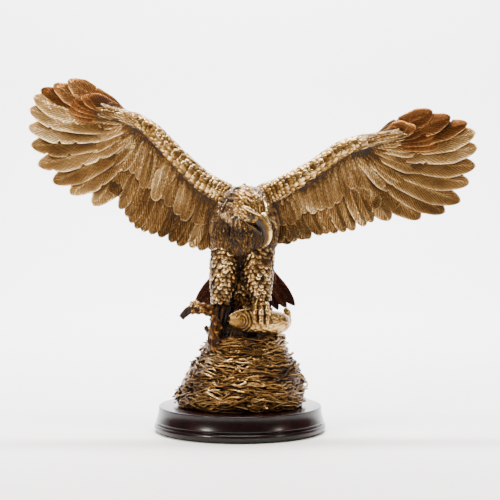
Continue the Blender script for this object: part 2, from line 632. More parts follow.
# %% Flight feathers
def make_flight(wing, seed):
    rng = np.random.default_rng(seed)
    casting, hand = Casting(), Casting()
    roots, tips = wing.flight()
    n = len(roots)
    order = np.linspace(0, 1, n)
    primary = np.arange(n) >= SECONDARIES
    tips = tips + rng.normal(0, 1.2, (n, 3)) * [1, 0.8, 1]
    roots = roots + np.array([0, 6.0, 0])
    bow = -np.where(primary, np.interp(order, [0.5, 1], [9, 2]), 9.0)
    sag = wing.side * np.where(primary, 7 * np.sin(np.pi * np.clip((order - 0.5) * 2, 0, 1)), 2.0)
    leading = np.arange(n) >= n - 3
    groups = (
        (primary & ~leading, 0.2, 0.58, 15.5, casting),
        (leading, 0.2, 0.62, 12.5, hand),
        (~primary, 0.05, 0.5, 9.0, casting),
    )
    for chosen, finger, sharp, width, target in groups:
        lay_feathers(
            target, roots[chosen], tips[chosen], (0, -1, 0), width, bow=bow[chosen], sag=sag[chosen],
            roll=-0.2 * wing.side + rng.normal(0, 0.03, chosen.sum()), thick=1.7, crown=1.2, shaft=0.9,
            shoulder=0.8, sharp=sharp, neck=0.55, finger=finger, steps=90, columns=21,
            barb_pitch=3.2, notches=3, rng=rng,
        )
    # Smooth warm-toned coverts carry the arm's line on over the leading primaries, front and back.
    for facing in (-1, 1):
        for count, start, end, width in ((6, 0.0, 0.62, 8.5), (7, -0.04, 0.4, 7.0), (8, -0.08, 0.22, 5.5)):
            q = np.linspace(0.84, 0.995, count)
            step = np.array([0, facing, 0])
            begin, finish_at = fan(wing, q, np.full(count, start)), fan(wing, q, end * rng.uniform(0.85, 1.1, count))
            lay_feathers(
                hand, begin - step * 1.5, finish_at + step * 3.2, (0, facing, 0), width, bow=0.8,
                roll=-0.2 * wing.side * -facing, thick=1.2, crown=1.0, shaft=0.6, shoulder=0.7, sharp=0.55,
                neck=0.6, steps=30, columns=11, deep=0.15, rng=rng,
            )
    hand.make(f"{wing.name}_leading_primaries", orange_bronze, "bronze")
    # Under-feathers: shorter, behind, and half a step aside, so that light shows only between the tips.
    between = 0.5 * (tips[:-1] + tips[1:])[SECONDARIES - 1 :]
    middle = 0.5 * (roots[:-1] + roots[1:])[SECONDARIES - 1 :]
    lay_feathers(
        casting, middle + [0, 3, 0], middle + (between - middle) * 0.85 + [0, 3, 0], (0, -1, 0), 14,
        bow=-8.0, sag=wing.side * 4.0, thick=1.3, crown=0.9, shaft=0.7, shoulder=0.84, sharp=0.5, neck=0.55,
        steps=60, columns=15, barb_pitch=3.2, deep=0.25, rng=rng,
    )
    return casting.make(f"{wing.name}_flight_feathers", bronze, "bronze", replaces=[f"{wing.name}_wing"])


make_flight(right_wing, 11)
make_flight(left_wing, 12)


# %% [markdown]
# ### Coverts
# Coverts repeat the fan of the flight feathers, only shorter. Front layers step towards
# the viewer, and back layers step away.


# %% Coverts
# Each layer: how many, where it starts and ends on the fan, width, how far out, and how dark.
FRONT_LAYERS = [(23, 0.02, 0.56, 8.2, 2.2, 0.05), (27, 0.0, 0.43, 7.2, 3.6, 0.15), (31, 0.0, 0.32, 6.2, 4.8, 0.3),
                (36, -0.02, 0.22, 5.2, 5.8, 0.55), (40, -0.03, 0.14, 4.6, 7.0, 0.9)]
BACK_LAYERS = [(24, 0.02, 0.56, 7.4, 2.2, 0.1), (28, 0.0, 0.42, 6.6, 3.9, 0.1), (32, -0.02, 0.3, 5.8, 5.4, 0.1),
               (36, -0.03, 0.2, 5.0, 6.8, 0.1), (40, -0.04, 0.12, 4.2, 8.0, 0.1)]


def make_coverts(wing, layers, facing, name, seed):
    rng = np.random.default_rng(seed)
    casting = Casting()
    for count, start, end, width, out, deep in layers:
        q = (np.arange(count) + 0.5 + rng.normal(0, 0.12, count)) / count
        q = np.clip(q, 0.0, 0.985)
        ends = end * rng.uniform(0.9, 1.1, count) * np.interp(q, [0, 0.5, 0.75, 1], [1.15, 1.0, 0.9, 0.7])
        root = fan(wing, q, np.full(count, start))
        tip = fan(wing, np.clip(q + rng.normal(0, 0.004, count), 0, 1), ends)
        step = np.array([0, facing, 0])
        lay_feathers(
            casting, root + step * (out * 0.8), tip + step * (1.6 + 0.35 * out), (0, facing, 0),
            width * rng.uniform(0.9, 1.12, count), bow=0.6, roll=-0.22 * wing.side * -facing,
            thick=1.2, crown=1.1, shaft=0.6, shoulder=0.7, sharp=0.5, neck=0.6,
            steps=26, columns=11, notches=2, deep=deep, rng=rng,
        )
    return casting.make(name, bronze, "bronze")


for wing, seed in ((right_wing, 21), (left_wing, 31)):
    make_coverts(wing, FRONT_LAYERS, -1, f"{wing.name}_front_coverts", seed)
    make_coverts(wing, BACK_LAYERS, 1, f"{wing.name}_back_coverts", seed + 1)


# %% [markdown]
# ### The arm
# The arm is a limb with small bright scales near the shoulder, which grow to long smooth
# feathers at the wrist. Polishing reaches it first, so it gets the brighter finish.


# %% Arm feathers
def make_arm(wing, seed):
    rng = np.random.default_rng(seed)
    casting = Casting()
    points, quads, _ = wing.arm.skin(40, 20)
    casting.add(points, quads, rub=0.2, deep=0.7)
    cover(
        casting, wing.arm, rng, t0=0.0, t1=0.82, rows=32, around=[18, 19, 17, 14, 11], length=[7.4, 7.4, 8.5, 13, 18],
        width=[6.2, 6.2, 6.6, 7.6, 8.6], ease=1.15, lift=1.5, sink=1.0, jitter=0.12, thick=0.9, crown=0.5, shaft=0.0,
        shoulder=0.45, sharp=0.5, neck=0.8, steps=10, barbed=False,
    )
    casting.make(f"{wing.name}_arm", bright_bronze, "bronze")
    # At the wrist the feathers are long and smooth, and darker, because they lie in the lee of the arm.
    wrist = Casting()
    end, _, ahead = wing.arm.surface(0.9, 0.0, -6.5)
    spindle = Limb([end, end + ahead * 14, end + ahead * 30, end + ahead * 44], [4, 6, 5, 0.6], [4, 5.5, 4, 0.6])
    points, quads, _ = spindle.skin(20, 16)
    wrist.add(points, quads, rub=0.5, deep=0.1)
    cover(
        wrist, wing.arm, rng, t0=0.8, t1=1.0, rows=6, around=[10, 8, 6], length=[20, 26, 30], width=[8.6, 8, 6.5],
        lift=1.5, sink=0.4, jitter=0.22, thick=1.2, crown=1.0, shaft=0.5, shoulder=0.6, sharp=0.7, neck=0.7, steps=24,
    )
    return wrist.make(f"{wing.name}_wrist_feathers", bronze, "bronze")


make_arm(right_wing, 41)
make_arm(left_wing, 42)

# %% [markdown]
# ## Trunk and thighs
# The trunk slopes from the neck down to the rump. Its feathers are long and pointed on
# the breast, and they run from the neck towards the tail. The thighs wear the eagle's
# "trousers": rounded scales in staggered rows, a little wider where the thigh is fullest.

# %% Trunk
trunk = Limb(
    bird([[0, -15, 140], [0, 2, 134], [0, 22, 117], [0, 40, 99], [0, 54, 83]]),
    [26, 36, 37, 28, 15], [21, 27, 28, 22, 12], facing=(0, 0, 1),
)
breast = Limb(bird([[0, -8, 138], [0, -13, 121], [0, -11, 104], [0, -5, 90]]), [23, 33, 34, 23], [15, 18, 17, 9])
belly = Limb(bird([[0, 4, 100], [-2, 5, 80], [-4, 4, 60], [-3, 2, 40]]), [26, 22, 17, 12], [14, 13, 10, 6])
FRONT = (math.pi - 0.5, 2 * math.pi + 0.5)


CORE_SINK = 1.5  # millimetres that a core lies below its feathers' roots


def dress(name, limb, seed, replaces=(), **feathers):
    """A core a little under the limb's skin, with the feathers that cover it."""
    casting = Casting()
    points, quads, _ = limb.skin(40, 40, lambda t, turn: 0 * t - CORE_SINK)
    casting.add(points, quads, rub=0.2, deep=0.7)
    cover(casting, limb, np.random.default_rng(seed), **feathers)
    return casting.make(name, bronze, "bronze", replaces=replaces)


def make_trunk():
    dress(
        "trunk_feathers", trunk, 51, ["body"], t0=0.0, t1=0.9, rows=20, around=[32, 38, 38, 28, 14], length=[12, 14, 15, 16],
        width=[6.5, 7.5, 9, 8.5], lift=1.8, jitter=0.2, thick=1.1, crown=1.1, shaft=0.5,
        shoulder=0.4, sharp=0.6, neck=0.6, steps=11, columns=7,
    )
    dress(
        "breast_feathers", breast, 52, t0=-0.02, t1=0.9, rows=15, around=[20, 26, 27, 22], length=[11, 12, 12],
        width=[6.2, 6.8, 7.4], turns=FRONT, lift=2.0, jitter=0.22, thick=1.1, crown=1.1, shaft=0.5,
        shoulder=0.35, sharp=0.7, neck=0.6, steps=14, deep=0.6,
    )
    dress(
        "belly_feathers", belly, 53, t0=0.0, t1=0.99, rows=15, around=[30, 26, 18], length=[9, 9, 9], width=[7, 6.5],
        lift=1.7, jitter=0.2, thick=1.0, crown=0.7, shaft=0.0, shoulder=0.45, sharp=0.5,
        neck=0.7, steps=12, deep=0.3, barbed=False,
    )


make_trunk()

# %% Thighs
THIGHS = {
    "right": ([[-18, -2, 110], [-22, -8, 88], [-24, -12, 64], [-27, -14, 41]], [15, 15, 13.5, 8.5], [18, 18.5, 15.5, 9]),
    "left": ([[17, -3, 110], [15.5, -10, 88], [16, -15, 64], [19, -18, 44]], [17, 16.5, 14.5, 9], [18, 19, 15.5, 9]),
}


def make_thigh(side, seed):
    path, widths, depths = THIGHS[side]
    limb = Limb(bird(path), widths, depths)
    rng = np.random.default_rng(seed)
    casting = Casting()
    points, quads, _ = limb.skin(30, 30)
    casting.add(points, quads, rub=0.1, deep=0.9)
    cover(
        casting, limb, rng, t0=0.0, t1=0.95, rows=16, around=[15, 16, 15, 12, 9], length=[9.6, 9.6, 9, 8],
        width=[8.4, 8.4, 7.8, 6.8], lift=1.9, sink=1.4, jitter=0.1, thick=1.0, crown=0.7, shaft=0.0,
        shoulder=0.42, sharp=0.5, neck=0.8, steps=12, barbed=False,
    )
    return casting.make(f"{side}_thigh_feathers", bronze, "bronze", replaces=[f"{side}_thigh"])


make_thigh("right", 61)
make_thigh("left", 62)

# %% [markdown]
# ## Tail
# A fan of broad dark feathers hangs behind the legs, with short coverts over its root.
# The foundry left this part in its dark brown patina.

# %% Tail fan
TAIL_FEATHERS = 11


def make_tail(seed):
    rng = np.random.default_rng(seed)
    low, high = box_mm("tail")
    reach = (high[0] - low[0]) / 2 - 2
    casting = Casting()
    share = np.linspace(-1, 1, TAIL_FEATHERS)
    still = 0 * share
    root = bird(np.stack([share * 8, 50 + 2.0 * np.abs(share), 92 - 2 * np.abs(share)], 1))
    drop = (92 - (low[2] - PERCH[2])) * (0.97 - 0.13 * share**2)
    tip = bird(np.stack([share * reach, 75 - 6 * np.abs(share), 92 - drop], 1))
    for facing in (-1, 1):
        for end, out, width, count in ((1.0, 0.0, 8.5, 13), (0.55, 2.2, 8.5, 13), (0.32, 3.8, 7.0, 15)):
            if facing > 0 and end == 1.0:
                continue
            q = np.linspace(0, 1, count)
            spread = np.linspace(0, 1, TAIL_FEATHERS)
            pick = lambda table: np.stack([np.interp(q, spread, table[:, k]) for k in range(3)], 1)
            a, b = pick(root), pick(tip)
            step = np.array([0, facing * out, 0])
            lay_feathers(
                casting, a + step, a + (b - a) * end + step * 0.6, (0, facing, 0), width, bow=-3.0,
                roll=rng.normal(0.12, 0.02, count), thick=1.6, crown=1.0, shaft=0.9, shoulder=0.6,
                sharp=0.7, neck=0.4, steps=54, columns=13, barb_pitch=3.6, rng=rng,
            )
    return casting.make("tail_feathers", brown_bronze, "dark_bronze", replaces=["tail"])


make_tail(71)

# %% [markdown]
# ## Head and neck
# The head looks down and to the eagle's left. It is modelled in its own directions:
# forwards along the beak, the eagle's right, and up through the crown. The skull and
# beak are limbs, and the brow, eye, cere and gape are added to them. Pointed hackles
# start behind the brow and run down the neck.

# %% Head directions
HEAD = bird(5, -43, 147)
FORWARD = unit(np.array([0.62, -0.44, -0.65]))
LEVEL_UP = unit(np.array([0, 0, 1.0]) - FORWARD[2] * FORWARD)
LEVEL_RIGHT = np.cross(FORWARD, LEVEL_UP)
TILT = math.radians(15)
RIGHTWARD = LEVEL_RIGHT * math.cos(TILT) - LEVEL_UP * math.sin(TILT)
UPWARD = LEVEL_UP * math.cos(TILT) + LEVEL_RIGHT * math.sin(TILT)


def head_point(forward, right, up):
    return HEAD + forward * FORWARD + right * RIGHTWARD + up * UPWARD


def head_path(points):
    return np.array([head_point(*p) for p in points])


# %% Skull, brow, eyes and beak
def ball(centre, radii, axes, rows=16, sides=24):
    """An ellipsoid as points and quads; axes are three unit vectors."""
    a = np.linspace(-1, 1, rows)[:, None] * (math.pi / 2)
    b = np.linspace(0, 2 * math.pi, sides, endpoint=False)[None]
    local = np.stack([np.cos(a) * np.cos(b), np.cos(a) * np.sin(b), np.sin(a) + 0 * b], -1)
    points = centre + (local * radii) @ np.array(axes)
    return points.reshape(-1, 3), grid_quads(rows, sides, True)


def make_head(seed):
    rng = np.random.default_rng(seed)
    bare = Casting()
    feathers, crown = Casting(), Casting()
    axes = (FORWARD, -RIGHTWARD, UPWARD)
    skull = Limb(
        head_path([(-18, 0, -3), (-8, 0, 0), (4, 0, 1), (14, 0, 0), (21, 0, -2)]),
        [13.5, 16.5, 16, 12.5, 8], [13.5, 16, 15.5, 12, 8.5], facing=UPWARD,
    )
    points, quads, _ = skull.skin(30, 32)
    crown.add(points, quads, rub=0.6, deep=0.0)

    beak = Limb(
        head_path([(14, 0, -1), (21, 0, 1), (29, 0, 0), (36.5, 0, -6), (40, 0, -15), (38.5, 0, -26)]),
        [8.2, 8.0, 7.0, 5.4, 3.6, 0.8], [7.2, 6.4, 5.0, 3.6, 2.2, 0.5], facing=RIGHTWARD,
    )
    ridge_at = lambda turn: np.exp((np.cos(turn) - 1) / 0.25)

    def culmen(t, turn):
        cere = 0.9 * np.exp(-(((t - 0.24) / 0.08) ** 2))
        return 1.0 * ridge_at(turn) * smooth(0.1, 0.4, t) + cere

    points, quads, out = beak.skin(44, 28, culmen)
    ridge = np.pad(ridge_at(np.linspace(0, 2 * np.pi, 28, endpoint=False))[None].repeat(44, 0), ((1, 1), (0, 0)))
    bare.add(points, quads, rub=0.0 + 1.3 * ridge + 0.15 * out, deep=0.45 - 0.45 * ridge, tone=0.4)
    lower = Limb(
        head_path([(10, 0, -10), (19, 0, -12), (27, 0, -13.5), (30, 0, -15)]),
        [7.4, 6.2, 3.8, 1.0], [4.0, 3.4, 2.2, 0.8], facing=UPWARD,
    )
    points, quads, _ = lower.skin(20, 20)
    bare.add(points, quads, rub=0.05, deep=0.8)
    for side in (-1, 1):
        socket = head_point(12.5, side * 10.6, 2.0)
        points, quads = ball(socket, (6.5, 2.4, 5.0), axes)
        bare.add(points, quads, rub=0.0, deep=1.0)
        brow = Limb(
            head_path([(21, side * 4.5, 7.5), (15, side * 9.5, 8.6), (7, side * 13.4, 8.6), (-2, side * 15.5, 6)]),
            [1.4, 2.5, 2.4, 0.8], [1.2, 2.0, 2.2, 0.8], facing=UPWARD,
        )
        points, quads, _ = brow.skin(22, 14)
        bare.add(points, quads, rub=0.95, tone=0.6)
        eye = head_point(12.8, side * 11.4, 2.4)
        points, quads = ball(eye, (3.5, 2.6, 3.3), axes)
        bare.add(points, quads, rub=0.45, deep=0.4)
        points, quads = ball(eye + side * RIGHTWARD * 2.1 + FORWARD * 0.8, (1.6, 0.9, 1.6), axes)
        bare.add(points, quads, rub=0.0, deep=1.0)
        gape = Limb(
            head_path([(8, side * 10.6, -9), (15, side * 9.2, -9.2), (23, side * 6.9, -8.4), (31, side * 4.6, -9.5)]),
            [0.6, 1.3, 1.2, 0.5], [0.5, 1.1, 1.0, 0.4], facing=UPWARD,
        )
        points, quads, _ = gape.skin(24, 12)
        bare.add(points, quads, rub=0.35, deep=0.3)
        points, quads = ball(head_point(25, side * 6.4, 3.6), (1.8, 0.9, 1.0), axes)
        bare.add(points, quads, rub=0.0, deep=1.0)
    bare.make("eagle_beak_and_brow", bright_bronze, "bronze")

    neck = Limb(
        np.concatenate([head_path([(-3, 0, -1), (-10, 0, -1)]), bird([[2, -24, 140], [0, -10, 142], [0, 4, 137]])]),
        [13, 17, 23, 29, 32], [12.5, 17, 22, 28, 28], facing=(0, 0, 1),
    )
    points, quads, _ = neck.skin(30, 40, lambda t, turn: 0 * t - 2 * CORE_SINK)
    feathers.add(points, quads, rub=0.35, deep=0.4)
    cover(
        crown, skull, rng, t0=0.9, t1=0.3, rows=14, around=[14, 22, 28, 30], length=[4, 6, 8], width=[2.6, 3.2, 4.2],
        back=-1, lift=0.5, sink=0.4, jitter=0.2, thick=0.5, crown=0.4, shaft=0.1, shoulder=0.3, sharp=0.7,
        neck=0.7, steps=12, deep=0.0, barbed=False,
    )
    crown.make("eagle_crown_feathers", bright_bronze, "bronze")
    cover(
        feathers, neck, rng, t0=0.02, t1=0.86, rows=17, around=[30, 34, 38, 38], length=[10, 12, 14, 14],
        width=[4.4, 5.4, 6.6, 7], lift=1.6, sink=0.6, jitter=0.25, thick=1.1, crown=1.0, shaft=0.5, shoulder=0.3,
        sharp=0.75, neck=0.7, steps=11, columns=7,
    )
    feathers.make("eagle_head_feathers", bronze, "bronze", replaces=["head"])


make_head(81)

# %% [markdown]
# ## Feet
# An eagle's toes are a row of padded joints with broad scales across their tops, and each
# ends in a curved claw with a ring at its root. The toes are limbs whose relief function
# raises the scales; the claws are separate smooth limbs.

# %% Toes and claws
def onward(top, foot, height):
    """A point on a leg's centre line at a height above the perch."""
    top, foot = bird(*top), bird(*foot)
    share = (PERCH[2] + height - foot[2]) / (top[2] - foot[2])
    return foot + (top - foot) * share


LEGS = {"right": ((-12.5, 5, 128), (-30, -22, -18)), "left": ((12.5, 5, 128), (20, -32, -18))}
TOES = {
    "right": [
        [(-2, -4, 0), (-5, -9, 0), (-7, -12, 3), (-7, -13, 7)],
        [(1, -5, 0), (1, -10, 0), (0, -13, 3), (-1, -14, 7)],
        [(3, -3, 0), (5, -7, 1), (5, -10, 3), (4, -11, 7)],
        [(0, 4, 1), (-1, 9, 0), (-3, 11, 5), (-4, 9, 10)],
    ],
    "left": [
        [(-2, -5, 0), (-4.4, -17, 1), (-4.8, -24, 8), (-4.8, -26, 17)],
        [(1, -6, 0), (1.3, -19, 1), (1.6, -27, 8), (1.6, -29, 18)],
        [(4, -4, 0), (7, -16, 1), (8.0, -23, 8), (8.2, -25, 17)],
        [(1, 3, 0), (2, 10, 0), (2, 14, 5), (1, 16, 13)],
    ],
}
TOE_WIDTH = {"right": 2.9, "left": 3.3}
BALL_HEIGHT = {"right": 35, "left": 39}
TOE_SCALES = 9


def scutes(t, turn):
    """Broad scales across a toe: steps along it, strongest on its upper side."""
    saw = (t * TOE_SCALES) % 1.0
    step = 0.75 * (saw**0.6 - 0.4) * smooth(0.02, 0.1, t)
    knuckle = 0.7 * np.cos(t * 3 * 2 * np.pi)
    return step * (0.5 + 0.5 * np.abs(np.sin(turn))) + knuckle * 0.5


def make_foot(side, look, shine, seed):
    rng = np.random.default_rng(seed)
    casting = Casting()
    height = BALL_HEIGHT[side]
    ball_point = onward(*LEGS[side], height)
    wide = TOE_WIDTH[side]
    shank = Limb([onward(*LEGS[side], h) for h in (54, 48, 43, height - 5)], [7, 6, 6, 6.4], [7, 6, 6.2, 6.8])
    points, quads, out = shank.skin(30, 20, lambda t, turn: 0.5 * ((t * 6) % 1.0))
    casting.add(points, quads, rub=(0.5 + 0.4 * out) * shine, deep=0.6 * (1 - shine))
    for marks in TOES[side]:
        path = [ball_point + np.array([a, b, -below]) for a, b, below in marks]
        toe = Limb(path, [wide, wide, wide * 0.9, wide * 0.75], [wide, wide, wide * 0.9, wide * 0.75])
        points, quads, out = toe.skin(60, 16, scutes)
        casting.add(points, quads, rub=np.clip(0.45 + 0.6 * out, 0, 1.2) * shine, deep=0.6 * (1 - shine), tone=0.6)
        ahead = unit(path[-1] - path[-2])
        inward = unit(ball_point + np.array([0, 0, -40.0]) - path[-1])
        root = path[-1] - ahead * 2
        claw = Limb(
            [root, root + ahead * 3, root + ahead * 6 + inward * 2, root + ahead * 8 + inward * 5],
            [wide * 0.8, wide * 0.75, wide * 0.5, 0.3], [wide * 0.8, wide * 0.75, wide * 0.5, 0.3],
        )
        points, quads, _ = claw.skin(24, 14, lambda t, turn: 0.4 * np.exp(-(((t - 0.1) / 0.06) ** 2)))
        casting.add(points, quads, rub=0.7 * shine, deep=0.6 * (1 - shine), tone=0.4)
    return casting.make(f"{side}_foot_toes", look, "pale_bronze", replaces=[f"{side}_foot"])


make_foot("right", bark_bronze, 0.6, 91)
make_foot("left", bright_bronze, 1.0, 92)

# %% [markdown]
# ## Fish
# The fish lies across the perch with its head to the eagle's right. Its sides carry rows
# of small overlapping scales in real relief, the gill covers are rings around the cheek,
# and its fins are rayed feather-like blades.

# %% Fish
FISH_SCALE_MM = 4.2
GILL_RING_MM = 3.4


def make_fish(seed):
    rng = np.random.default_rng(seed)
    casting = Casting()
    body = Limb(
        bird([[-16, -28, 22], [-8, -28, 21], [2, -27, 20], [14, -26, 18.5], [28, -24, 17.5], [40, -18, 17],
              [46, -9, 18], [47, -1, 22]]),
        [6.5, 10.5, 13, 14, 13.5, 11.5, 7.5, 4], [4.5, 8, 11, 11.5, 11.5, 9.5, 6, 2.5],
    )
    around = round(2 * math.pi * 12.5 / FISH_SCALE_MM)

    def skin(t, turn):
        tall = through(body.widths, t)
        forward, up = t * body.length - 16.0, -tall * np.cos(turn)
        reach = np.hypot(forward, 0.85 * up)
        rings = np.cos(2 * np.pi * reach / GILL_RING_MM) * smooth(15, 12, reach) * smooth(-3, 3, forward)
        rings = 0.7 * rings * (np.sin(turn) < 0)
        a, b = 0.6 * t * body.length / FISH_SCALE_MM, turn / (2 * math.pi) * around
        domes = []
        for shift in (0.0, 0.5):
            u, v = (a + shift) % 1.0, (b + shift) % 1.0 - 0.5
            domes.append((0.35 + 0.65 * u) * np.sqrt(np.clip(1 - (2 * v) ** 2 - (1.6 * (u - 0.4)) ** 2, 0, 1)))
        return 0.75 * rings + 1.1 * np.maximum(*domes) * smooth(11, 15, reach) * smooth(0.25, 0.35, t)

    points, quads, out = body.skin(190, 90, skin)
    casting.add(points, quads, rub=np.clip(0.3 + 0.6 * out, 0, 1.1), deep=0.0, tone=0.5)
    eye = bird(-8.5, -34.2, 25)
    points, quads = ball(eye, (2.3, 1.6, 2.3), np.eye(3))
    casting.add(points, quads, rub=0.8)
    points, quads = ball(eye + [-0.2, -1.2, 0.2], (1.1, 0.8, 1.1), np.eye(3))
    casting.add(points, quads, rub=0.0, deep=1.0)
    jaws = [
        ([[-8, -34, 17.5], [-14, -32.5, 19], [-18.5, -28, 20]], 1.0),
        ([[-17, -30, 25.5], [-9, -31, 30], [0, -31, 33], [8, -31, 33.5]], 1.2),
    ]
    for path, radius in jaws:
        widths = [radius * 0.7, radius, radius] if len(path) == 3 else [radius * 0.7, radius, radius, radius * 0.6]
        points, quads, _ = Limb(bird(path), widths, widths).skin(20, 12)
        casting.add(points, quads, rub=0.85)
    tail_root = bird(47, -1, 22)
    turns = np.linspace(-0.2, 1.6, 9)
    tips = tail_root + np.stack([6 * np.cos(turns), 4 + 0 * turns, 10 * np.sin(turns) + 0.5], 1)
    lay_feathers(casting, np.repeat(tail_root[None], 9, 0), tips, (0.4, -1, 0.1), 2.6, thick=1.1, crown=0.6,
                 shaft=0.8, shoulder=0.8, sharp=0.4, neck=0.5, steps=12, columns=7, rng=rng)
    fin_roots = bird([[2 + 3.2 * i, -25 + 0.4 * i, 31.5 - 0.1 * i] for i in range(9)])
    lay_feathers(casting, fin_roots, fin_roots + [4.0, 1.0, 3.5], (0, -1, 0.3), 2.0, thick=1.0, crown=0.5,
                 shaft=0.6, shoulder=0.7, sharp=0.6, neck=0.8, steps=8, columns=5, rng=rng)
    return casting.make("fish_scales", bright_bronze, "pale_bronze", replaces=["fish"])


make_fish(101)

# %% [markdown]
# ## Branch
# The perch is a broken stub with a side bough. Bark is ridged along the grain, with
# knots; the bough ends in a bright knob and a dark downward claw of dead wood.

# %% Bark
def bark(scale, phase):
    """A relief function for bark: long uneven ridges with knots."""
    def relief(t, turn):
        ridges = np.sin(turn * 6 + 2.5 * np.sin(t * 9 + phase) + phase)
        fine = np.sin(turn * 13 + t * 25 + 1.7 * phase + 2 * np.sin(t * 19))
        lumps = np.sin(t * 17 + 2 * np.sin(turn + phase)) * np.cos(turn * 2 + phase + 3 * t)
        knots = np.maximum(np.sin(t * 29 + phase) * np.sin(turn * 3 + 7 * t + phase), 0.3) - 0.3
        return scale * (0.4 * ridges + 0.35 * fine + 0.7 * lumps + 1.6 * knots)
    return relief


def make_branch(seed):
    casting = Casting()
    parts = [
        ([[-32, -22, -14], [-32, -21, 4], [-31, -19, 18], [-29, -16, 31]], [9.5, 8, 7.4, 7.2], [10, 9, 8, 7.5], 1.0, 0.6),
        ([[-27, -16, 29], [-38, -19, 31], [-50, -21, 33], [-60, -22, 31.5]], [7.2, 6.4, 5.8, 5.0], [7, 6.0, 5.4, 4.6], 0.8, 0.6),
        ([[-52, -21, 34], [-59, -22, 33], [-66, -23, 28], [-71, -24, 23]], [4.8, 4.8, 4.0, 3.0], [5, 4.6, 4, 3], 0.45, 0.0),
        ([[-48, -21, 32], [-54, -22, 37], [-61, -23, 37.5]], [4.6, 4.8, 3.6], [4.2, 4.4, 3.4], 0.6, 1.0),
        ([[-34, -16, 2], [-41, -13, 8], [-44, -11, 12]], [4.0, 3.0, 2.0], [4.0, 3.0, 2.0], 0.6, 0.5),
        ([[-22, 3, -6], [-21, 3, 14], [-19, 3, 28], [-16, 2, 40]], [8.5, 7.5, 7.5, 7], [7, 6.5, 6, 5.5], 0.9, 0.3),
    ]
    for i, (path, widths, depths, scale, shine) in enumerate(parts):
        limb = Limb(bird(path), widths, depths)
        points, quads, out = limb.skin(110, 56, bark(scale, 1.3 * i + seed))
        casting.add(points, quads, rub=np.clip(0.15 + 0.25 * shine + 0.35 * out / scale, 0, 1), deep=0.35 * (1 - shine), tone=shine)
    return casting.make("branch_bark", bark_bronze, "bronze", replaces=["branch"])


make_branch(3)

# %% [markdown]
# ## Nest mound
# The mound is layer on layer of twigs, laid mostly flat and round. Every twig is its own
# limb: bent along the mound, knotted, and cut square at its ends. Below them a dark rough
# core closes the gaps. Twigs stick out further near the foot, where the nest is widest.

# %% Mound outline
MOUND_FOOT = mound_low[2]
MOUND_STOREYS = [68, 71.5, 70.5, 67, 61.5, 56.5, 48.5, 44.5, 40]  # radii at equal steps from the foot to the top
MOUND_LEAN = (-5.0, 4.0)  # how far the nest's middle is from the eagle's, at the foot and at the top


def mound_radius(z):
    """The nest's radius at a height, with its untidy storeys."""
    return through(MOUND_STOREYS, (z - MOUND_FOOT) / (PERCH[2] - MOUND_FOOT))


def on_mound(z, around, layer):
    """A point of the nest at a height, a bearing and a distance from its surface."""
    share = np.clip((z - MOUND_FOOT) / (PERCH[2] - MOUND_FOOT), 0, 1)
    middle = PERCH[0] + MOUND_LEAN[0] + (MOUND_LEAN[1] - MOUND_LEAN[0]) * share
    bumps = 1.3 * np.sin(around * 5 + z * 0.12) + 1.2 * np.sin(around * 9 - z * 0.23 + 2)
    radius = mound_radius(z) + layer + bumps
    return np.stack([middle + radius * np.cos(around), radius * np.sin(around), z + 0 * radius], -1)


# %% Twigs
TWIGS, TOP_TWIGS = 1500, 700
HEAP_HEIGHT, HEAP_RADIUS, HEAP_MIDDLE = 25.0, 31.0, np.array([0.0, 6.0])  # the lining piled up behind the fish


